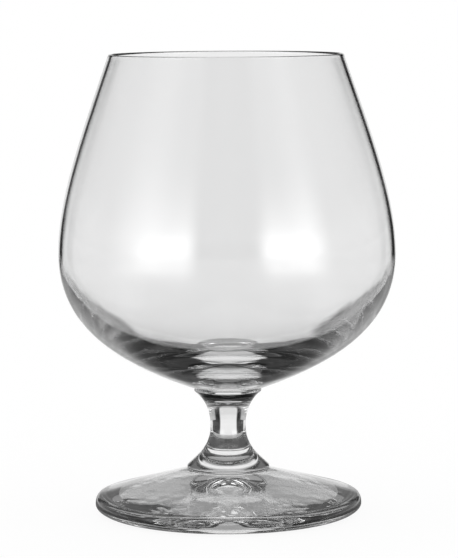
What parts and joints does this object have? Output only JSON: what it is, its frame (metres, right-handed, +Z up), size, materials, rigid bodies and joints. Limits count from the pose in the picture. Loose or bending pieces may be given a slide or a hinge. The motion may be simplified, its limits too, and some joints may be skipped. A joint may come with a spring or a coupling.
{
  "type": "brandy snifter",
  "caption": "Stemmed brandy glass: wide belly narrowing to the mouth, thick round bottom, short solid waisted stem between two weld ridges, broad low foot.",
  "frame": {"origin": "centre of the plane that the foot rests on, on the glass's axis", "axes": "+Z up along the axis, from the foot to the mouth; +X and +Y are any two level directions, as the glass is round"},
  "size_m": [0.0936, 0.0936, 0.128],
  "materials": {
    "blown_glass": "clear, fire polished, thin wall",
    "drawn_glass": "clear, fire polished, solid",
    "pressed_glass": "clear, pressed and fire polished, faint flow marks"
  },
  "bodies": {
    "root": {"bowl": "blown_glass", "stem": "drawn_glass", "foot": "pressed_glass"}
  },
  "joints": []
}
